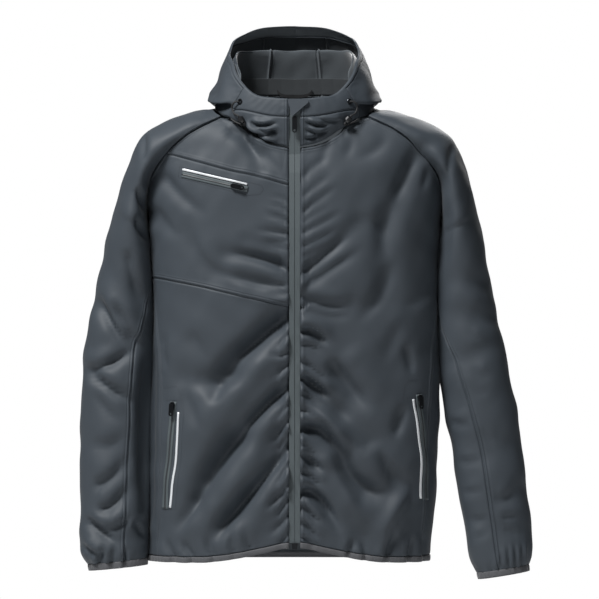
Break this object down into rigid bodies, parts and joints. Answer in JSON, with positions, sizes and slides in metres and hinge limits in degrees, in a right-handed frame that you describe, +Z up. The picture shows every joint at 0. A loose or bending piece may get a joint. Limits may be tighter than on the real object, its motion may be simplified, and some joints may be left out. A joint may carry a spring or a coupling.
{
  "type": "softshell jacket",
  "caption": "Men's hooded softshell jacket, filled out as worn, with raglan sleeves, full front zip, slanted chest pocket and zipped hand pockets",
  "frame": {"origin": "middle of the neck at the height where the shoulders begin, where the wearer's neck and shoulders carry it", "axes": "+Z up, front facing -Y, the wearer's left at +X"},
  "size_m": [0.7455, 0.2724, 0.9193],
  "materials": {
    "shell": "dark slate stretch softshell, smooth face with a satin sheen, fleece inside",
    "binding": "elastic binding, fine rib, matte",
    "tape": "woven zip tape with reversed coil",
    "reflective": "silver reflective film",
    "plastic": "black moulded plastic",
    "cord": "black braided cord and tape",
    "metal": "gunmetal"
  },
  "bodies": {
    "jacket": {"front_right_yoke": "shell", "front_right_chest": "shell", "front_right_lower": "shell", "front_left": "shell", "back_panel": "shell", "side_panel_right": "shell", "side_panel_left": "shell", "sleeve_outer_right": "shell", "sleeve_under_right": "shell", "sleeve_outer_left": "shell", "sleeve_under_left": "shell", "hood_centre": "shell", "hood_side_right": "shell", "neck_front_right": "shell", "chin_band_right": "shell", "hood_side_left": "shell", "neck_front_left": "shell", "chin_band_left": "shell", "hood_rim_band": "shell", "hem_binding_right": "binding", "hem_binding_left": "binding", "hem_binding_back": "binding", "cuff_binding_right": "binding", "cuff_binding_left": "binding", "zip_tape_right": "tape", "zip_tape_left": "tape", "slider_main": "metal", "zip_bottom_box": "metal", "zip_garage": "shell", "pocket_zip_chest": "tape", "reflective_chest": "reflective", "slider_chest": "metal", "pocket_zip_hand_right": "tape", "reflective_hand_right": "reflective", "slider_hand_right": "metal", "pocket_zip_hand_left": "tape", "reflective_hand_left": "reflective", "slider_hand_left": "metal", "neck_band_back": "binding", "hanging_loop": "cord", "hood_cord_right": "cord", "hood_cord_tail_right": "cord", "eyelet_right": "metal", "cord_lock_right": "plastic", "hood_cord_left": "cord", "hood_cord_tail_left": "cord", "eyelet_left": "metal", "cord_lock_left": "plastic"},
    "pull_main": {"pull_tab_main": "metal"},
    "pull_chest": {"pull_tab_chest": "metal"},
    "pull_hand_right": {"pull_tab_hand_right": "metal"},
    "pull_hand_left": {"pull_tab_hand_left": "metal"}
  },
  "joints": [
    {"name": "tab_main", "type": "hinge", "parent": "jacket", "child": "pull_main", "pos_m": [0, -0.1105, -0.015], "axis": [-1, 0, 0], "range_deg": [0, 80]},
    {"name": "tab_chest", "type": "hinge", "parent": "jacket", "child": "pull_chest", "pos_m": [-0.1013, -0.1115, -0.1252], "axis": [-0.2295, -0.0539, -0.9718], "range_deg": [0, 150]},
    {"name": "tab_hand_right", "type": "hinge", "parent": "jacket", "child": "pull_hand_right", "pos_m": [-0.2018, -0.0773, -0.482], "axis": [-0.8384, 0.541, 0.0667], "range_deg": [0, 150]},
    {"name": "tab_hand_left", "type": "hinge", "parent": "jacket", "child": "pull_hand_left", "pos_m": [0.2073, -0.0741, -0.4701], "axis": [-0.8173, -0.5734, -0.0564], "range_deg": [0, 150]}
  ]
}
